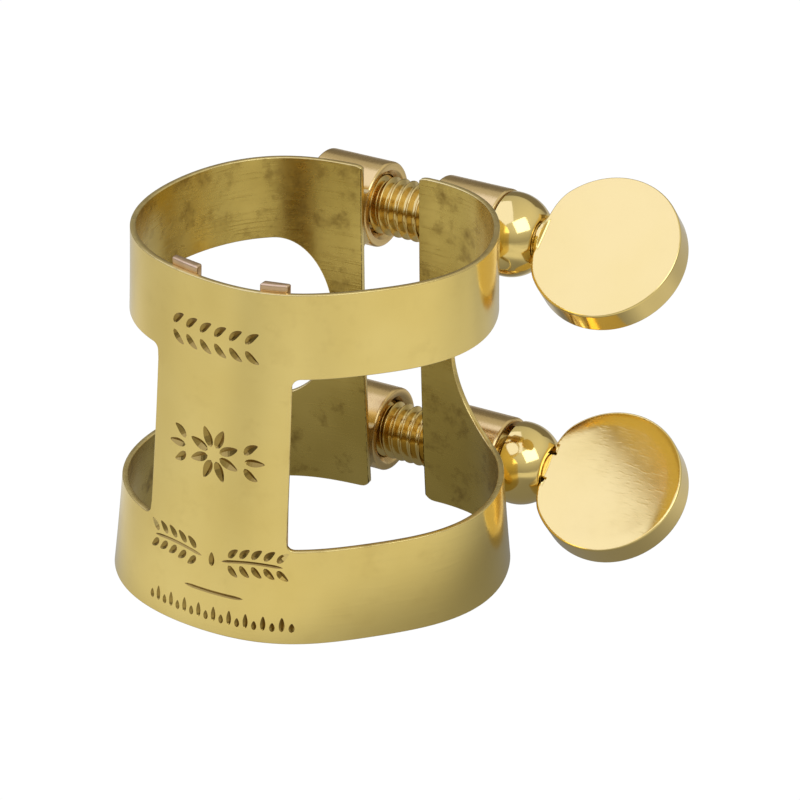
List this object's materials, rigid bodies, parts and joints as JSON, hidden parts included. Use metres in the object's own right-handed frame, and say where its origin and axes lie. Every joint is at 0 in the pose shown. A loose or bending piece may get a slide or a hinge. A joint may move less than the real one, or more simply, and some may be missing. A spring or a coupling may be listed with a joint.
{
  "type": "saxophone ligature",
  "caption": "Split brass band with two windows, inner reed rails, screw posts and dished thumbscrews that clamps a reed to a small saxophone mouthpiece.",
  "frame": {"origin": "on the band's axis, in the plane of the bottom rim", "axes": "+Z along the band's axis towards the narrower top rim, -Y towards the reed side, +X along the screws towards the thumb paddles"},
  "size_m": [0.0332, 0.0304, 0.0257],
  "materials": {
    "band": "satin lacquered sheet brass",
    "rail": "bare drawn brass strip",
    "post": "turned brass tube",
    "screw": "polished gold-coloured brass"
  },
  "bodies": {
    "band": {"band_left": "band", "left_reed_rail": "rail", "right_reed_rail": "rail", "upper_threaded_post": "post", "lower_threaded_post": "post"},
    "flex_side": {"band_right": "band", "upper_guide_post": "post", "lower_guide_post": "post"},
    "upper_collar": {"upper_ball_collar": "screw"},
    "upper_screw": {"upper_screw_shank": "screw", "upper_thumb_paddle": "screw"},
    "lower_collar": {"lower_ball_collar": "screw"},
    "lower_screw": {"lower_screw_shank": "screw", "lower_thumb_paddle": "screw"}
  },
  "joints": [
    {"name": "band_flex", "type": "hinge", "parent": "band", "child": "flex_side", "pos_m": [0.005, -0.00917, 0.012], "axis": [0, 0.0399, 0.9992], "range_deg": [-0.8, 4.6]},
    {"name": "upper_screw_travel", "type": "slide", "parent": "band", "child": "upper_collar", "axis": [-1, 0, 0], "range_m": [-0.00017, 0.0014]},
    {"name": "upper_screw_turn", "type": "hinge", "parent": "upper_collar", "child": "upper_screw", "pos_m": [0.0071, 0.01359, 0.02025], "axis": [-1, 0, 0], "range_deg": [-92, 724]},
    {"name": "lower_screw_travel", "type": "slide", "parent": "band", "child": "lower_collar", "axis": [-1, 0, 0], "range_m": [-0.0028, 0.00019]},
    {"name": "lower_screw_turn", "type": "hinge", "parent": "lower_collar", "child": "lower_screw", "pos_m": [0.00755, 0.0145, 0.00297], "axis": [-1, 0, 0], "range_deg": [-1445, 103]}
  ],
  "couplings": [
    {"joint": "upper_screw_turn", "follows": "upper_screw_travel", "rad_per_m": 8976},
    {"joint": "band_flex", "follows": "upper_screw_travel", "rad_per_m": 50.813},
    {"joint": "lower_screw_turn", "follows": "lower_screw_travel", "rad_per_m": 8976}
  ]
}
